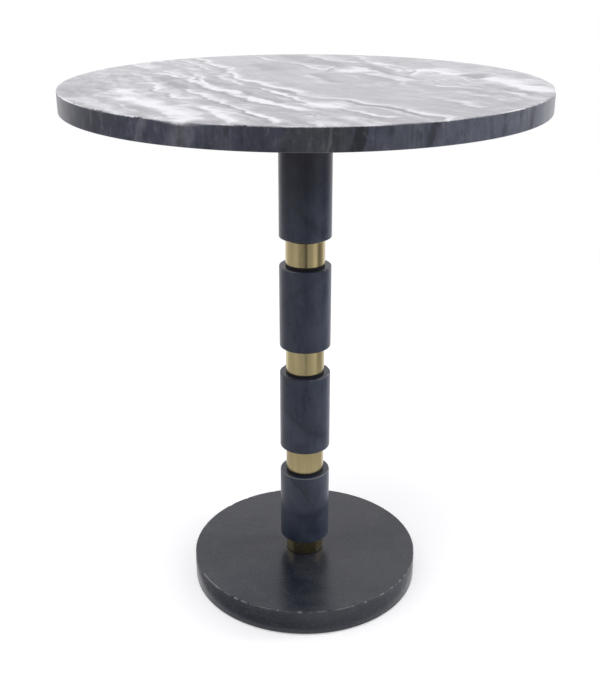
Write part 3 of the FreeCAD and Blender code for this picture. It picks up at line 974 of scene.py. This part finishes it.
top_radius = reach_of("table_top")
top_low, top_high = (corner.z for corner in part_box("table_top"))
top_rim = (top_radius, top_high)
top = spun(
    [
        (0, top_high),
        (top_radius - TOP_NICK_REACH, top_high),
        top_rim,
        (top_radius, top_high - TOP_NICK_REACH),
        (top_radius, top_low),
        (top_radius - TOP_NICK_REACH, top_low),
    ],
    TOP_STEPS,
    closed=False,
)
ease(top, TOP_ARRIS, TOP_ARRIS_SEGMENTS, top_rim, (top_radius, top_low))
nick(top, top_rim, TOP_NICK_REACH, TOP_NICK_DEPTH, TOP_WEAR_AND_HIGHLIGHT, TOP_NICK_SEED)
inserts_far_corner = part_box("plate_inserts")[1]
insert_hole_high = inserts_far_corner.z + INSERT_HOLE_SPACE
insert_reach = inserts_far_corner.x - INSERT_HOLE_RADIUS + INSERT_FIT
insert_places = [(x, y) for x in (-insert_reach, insert_reach) for y in (-insert_reach, insert_reach)]
bore_underside(top, top_low, insert_places)
stands_for(made("marble_top", top, top_finish()), "table_top")

# Floor, light and camera
# A pale studio floor fades into a white surround. One broad soft lamp hangs overhead and a small one
# stands on the right. A sheet on the floor, seen only in reflections, glows in bands of light and dark
# that paint reflections on the stone and brass.

FLOOR_REACH = 60.0
FLOOR_PALE = (0.86, 0.86, 0.86, 1.0)
FLOOR_GLOW = 0.38
FLOOR_FADE = (0.3, 1.4)
WHITE = (1.0, 1.0, 1.0, 1.0)
SURROUND_LIGHT = 0.62
SURROUND_TINT = (0.965, 0.958, 1.0, 1.0)

# In reflections the surround is dim in front of the table, both low down and high up. These are parts
# of a direction: its Y for the front, and its Z for low and high.
SURROUND_DIM = 0.07
SURROUND_FRONT = (0.0, -0.35)
SURROUND_LOW = (0.1, 0.04)
SURROUND_HIGH = (0.3, 0.42)

# The soft lamps: the name of each, its width in metres, its power in watts and its place.
LAMPS = [
    ("overhead_softbox", 2.6, 54.0, Vector((-0.6, -0.7, 3.4))),
    ("side_softbox", 0.7, 34.0, Vector((2.2, 0.3, 0.4))),
]
LAMP_AIM = Vector((0, 0, 0.3))

# The camera stands at the height and angle from which the table was seen.
CAMERA_PLACE = Vector((-0.0052, -0.9495, 0.6609))
CAMERA_TILT = math.radians(22.46)
FOCAL_PIXELS = 1006.0
IMAGE_HEIGHT_PIXELS = 690.0
SENSOR_MM = 36.0

SHEET_INNER = 0.128
SHEET_OUTER = 4.0
SHEET_HEIGHT = 1.0 * MM
SHEET_STEPS = 96

# How brightly the painted reflection sheet glows from its inner rim to its outer one, by the square
# root of the way out.
SHEET_RADIAL = [
    (0.0, 0.5), (0.06, 0.55), (0.09, 0.9), (0.12, 1.0), (0.145, 0.85), (0.18, 0.54), (0.3, 0.5),
    (0.38, 0.5), (0.46, 0.45), (0.53, 0.4), (0.6, 0.33), (0.7, 0.19), (0.8, 0.08), (1.0, 0.03),
]

# The bands of light and dark across the sheet by bearing, from behind the table round by its left,
# front and right. A half leaves the sheet as it is. They come up at these distances.
SHEET_BANDS = [
    (0.0, 0.5), (0.14, 0.55), (0.2, 0.72), (0.26, 0.6), (0.33, 0.72), (0.39, 0.6), (0.42, 0.45),
    (0.475, 0.4), (0.5, 0.2), (0.515, 0.16), (0.53, 0.22), (0.545, 0.5), (0.6, 0.56), (0.64, 0.78),
    (0.67, 0.9), (0.7, 0.78), (0.72, 0.38), (0.745, 0.32), (0.78, 0.42), (0.85, 0.5), (1.0, 0.5),
]
SHEET_BANDS_GAIN = 2.4
SHEET_BANDS_SPAN = (0.4, 0.95)

# Behind the table the sheet glows white between these bearings. They come later far out, and near the
# table on its left, where the sheet also carries painted shade close to the base.
SHEET_BACK = (math.radians(86), math.radians(140))
SHEET_LATE_FAR = (0.0, math.radians(9))
SHEET_LATE_FAR_SPAN = (1.0, 2.5)
SHEET_LATE_LEFT = math.radians(30)
SHEET_LATE_LEFT_SPAN = (0.4, 0.2)
SHEET_LEFT_SIDE = (0.05, -0.05)
SHEET_SHADE = (1.0, 0.62)
SHEET_SHADE_SPAN = (0.175, 0.145)


def seen_directly(tree):
    """1 for what the camera sees, straight or in a mirror or glass, and 0 for what only gives light."""
    path = put(tree, "LightPath").outputs
    seen = sums(tree, "MAXIMUM", path["Is Camera Ray"], path["Is Glossy Ray"])
    return sums(tree, "MAXIMUM", seen, path["Is Transmission Ray"])


def floor_finish():
    material, tree, shader = new_finish("pale_floor")
    shader.inputs["Base Color"].default_value = FLOOR_PALE
    shader.inputs["Roughness"].default_value = 1.0
    shader.inputs["Specular IOR Level"].default_value = 0.0
    glow = put(tree, "Emission", {"Color": WHITE, "Strength": FLOOR_GLOW})
    lit = put(tree, "AddShader", {0: shader.outputs[0], 1: glow.outputs[0]})
    white = put(tree, "Emission", {"Color": WHITE, "Strength": 1.0})
    faded = graded(tree, length_of(tree, laid(tree)), FLOOR_FADE)
    lit = put(tree, "MixShader", {0: faded, 1: lit.outputs[0], 2: white.outputs[0]})
    shown = put(tree, "MixShader", {0: seen_directly(tree), 1: shader.outputs[0], 2: lit.outputs[0]})
    tree.links.new(shown.outputs[0], tree.nodes["Material Output"].inputs["Surface"])
    return material


# The sheet only glows in reflections, as painted reflections of a darker room in front of the table.
def painted_reflection_finish():
    material, tree, _ = new_finish("painted_reflection_sheet")
    axes = axes_of(tree)
    bearing = bearing_of(tree, axes)
    distance = length_of(tree, laid(tree))
    leftward = graded(tree, axes["X"], SHEET_LEFT_SIDE)
    way_out = 1 / (SHEET_OUTER - SHEET_INNER)
    out = sums(tree, "MULTIPLY_ADD", distance, way_out, -SHEET_INNER / SHEET_OUTER)
    shade = drawn_curve(tree, sums(tree, "SQRT", out), SHEET_RADIAL)
    by_base = sums(tree, "MULTIPLY", graded(tree, distance, SHEET_SHADE_SPAN), leftward)
    shade = sums(tree, "MULTIPLY", shade, graded(tree, by_base, (0.0, 1.0), SHEET_SHADE))
    round_share = sums(tree, "MULTIPLY_ADD", bearing, 1 / math.tau, 0.5)
    bands = drawn_curve(tree, round_share, SHEET_BANDS)
    bands = sums(tree, "MULTIPLY_ADD", bands, SHEET_BANDS_GAIN, -SHEET_BANDS_GAIN / 2)
    bands = sums(tree, "MULTIPLY_ADD", bands, graded(tree, distance, SHEET_BANDS_SPAN), 1.0)
    late = graded(tree, distance, SHEET_LATE_FAR_SPAN, SHEET_LATE_FAR)
    near_left = sums(tree, "MULTIPLY", graded(tree, distance, SHEET_LATE_LEFT_SPAN), leftward)
    late = sums(tree, "MULTIPLY_ADD", near_left, SHEET_LATE_LEFT, late)
    back = graded(tree, sums(tree, "SUBTRACT", sums(tree, "ABSOLUTE", bearing), late), SHEET_BACK)
    shade = sums(tree, "MAXIMUM", sums(tree, "MULTIPLY", shade, bands), back)
    glow = put(tree, "Emission", {"Color": SURROUND_TINT, "Strength": shade})
    tree.links.new(glow.outputs[0], tree.nodes["Material Output"].inputs["Surface"])
    return material


floor = bmesh.new()
bmesh.ops.create_grid(floor, x_segments=1, y_segments=1, size=FLOOR_REACH)
made("studio_floor", floor, floor_finish())

sheet = spun([(SHEET_INNER, SHEET_HEIGHT), (SHEET_OUTER, SHEET_HEIGHT)], SHEET_STEPS, closed=False)
painted_reflection_sheet = made("painted_reflection_sheet", sheet, painted_reflection_finish())
painted_reflection_sheet.visible_camera = False
painted_reflection_sheet.visible_diffuse = False
painted_reflection_sheet.visible_transmission = False
painted_reflection_sheet.visible_shadow = False

world = bpy.data.worlds.new("white_surround")
world.use_nodes = True
tree = world.node_tree
direction = put(tree, "TexCoord").outputs["Generated"]
axes = put(tree, "SeparateXYZ", {"Vector": direction}).outputs
low = graded(tree, axes["Z"], SURROUND_LOW)
high = graded(tree, axes["Z"], SURROUND_HIGH)
in_front = graded(tree, axes["Y"], SURROUND_FRONT)
dim = sums(tree, "MULTIPLY", in_front, sums(tree, "MAXIMUM", low, high))
straight = put(tree, "LightPath").outputs["Is Camera Ray"]
shown = sums(tree, "MAXIMUM", graded(tree, dim, (0.0, 1.0), (1.0, SURROUND_DIM)), straight)
more = sums(tree, "SUBTRACT", shown, SURROUND_LIGHT)
strength = sums(tree, "MULTIPLY_ADD", seen_directly(tree), more, SURROUND_LIGHT)
tree.links.new(strength, tree.nodes["Background"].inputs["Strength"])
tree.links.new(mixed(tree, straight, SURROUND_TINT, WHITE), tree.nodes["Background"].inputs["Color"])
bpy.context.scene.world = world

for name, size, power, place in LAMPS:
    softbox = bpy.data.lights.new(name, "AREA")
    softbox.shape = "SQUARE"
    softbox.size = size
    softbox.energy = power
    lamp = bpy.data.objects.new(name, softbox)
    lamp.location = place
    lamp.rotation_euler = (LAMP_AIM - place).to_track_quat("-Z", "Y").to_euler()
    lamp.visible_glossy = False
    bpy.context.scene.collection.objects.link(lamp)

lens = bpy.data.cameras.new("camera")
lens.sensor_width = SENSOR_MM
lens.lens = FOCAL_PIXELS / IMAGE_HEIGHT_PIXELS * SENSOR_MM
camera = bpy.data.objects.new("camera", lens)
camera.location = CAMERA_PLACE
camera.rotation_euler = (math.radians(90) - CAMERA_TILT, 0, 0)
bpy.context.scene.collection.objects.link(camera)
bpy.context.scene.camera = camera
bpy.context.scene.view_settings.view_transform = "Standard"
